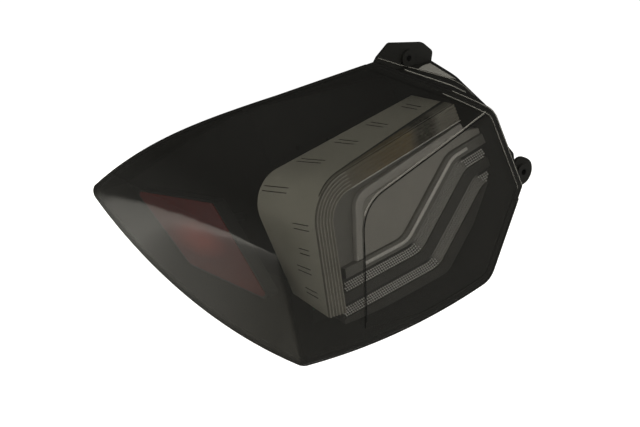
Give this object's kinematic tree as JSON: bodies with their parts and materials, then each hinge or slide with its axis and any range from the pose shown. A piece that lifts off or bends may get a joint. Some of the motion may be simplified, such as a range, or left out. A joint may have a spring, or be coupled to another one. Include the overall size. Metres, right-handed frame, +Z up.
{
  "type": "car tail light cluster",
  "caption": "Wrap-around left rear car lamp: smoked one-piece lens over a C-shaped light guide, wave reflex bands and a red side reflector, in a black housing with pins and ears.",
  "frame": {"origin": "on the axis of the main locating pin, where the pin leaves its flange on the housing's back", "axes": "+X inboard, +Y forwards along the car (the way the pins point), +Z up; the rear face looks along -Y"},
  "size_m": [0.3561, 0.3226, 0.2424],
  "materials": {
    "smoked_lens": "smoked clear, polished",
    "black_housing": "fine grained black",
    "dark_bezel": "satin black",
    "seal_rubber": "matte black",
    "silver": "metallised satin silver",
    "clear_guide": "clear, fluted",
    "grey_satin": "satin grey",
    "light_pipe": "frosted clear",
    "centre_grey": "satin grey-brown",
    "reflex": "moulded prisms",
    "red_reflex": "red moulded prisms",
    "board": "solder-resist green",
    "led": "phosphor dome",
    "chip": "moulded package",
    "steel": "zinc plated",
    "pin_nylon": "natural nylon",
    "foam": "closed-cell foam",
    "socket": "moulded",
    "terminal": "tinned"
  },
  "bodies": {
    "root": {"outer_lens": "smoked_lens", "lens_seal": "seal_rubber", "rear_housing": "black_housing", "inner_bezel": "dark_bezel", "carrier_plate": "dark_bezel", "module_screws": "steel", "silver_reflector": "silver", "ribbed_light_guide": "clear_guide", "guide_led_board": "board", "guide_leds": "led", "inner_reflector": "grey_satin", "light_pipe": "light_pipe", "centre_panel": "centre_grey", "stop_led_board": "board", "stop_leds": "led", "wave_reflector": "grey_satin", "reflex_band_upper": "reflex", "reflex_band_middle": "reflex", "reflex_band_lower": "reflex", "marker_reflex": "red_reflex", "marker_tray": "dark_bezel", "marker_led_board": "board", "marker_leds": "led", "driver_board": "board", "driver_chips": "chip", "ear_bushings": "steel", "locating_pin_main": "pin_nylon", "locating_pin_side": "pin_nylon", "body_gasket": "foam", "connector_socket": "socket", "connector_terminals": "terminal", "vent_caps": "seal_rubber"}
  },
  "joints": []
}
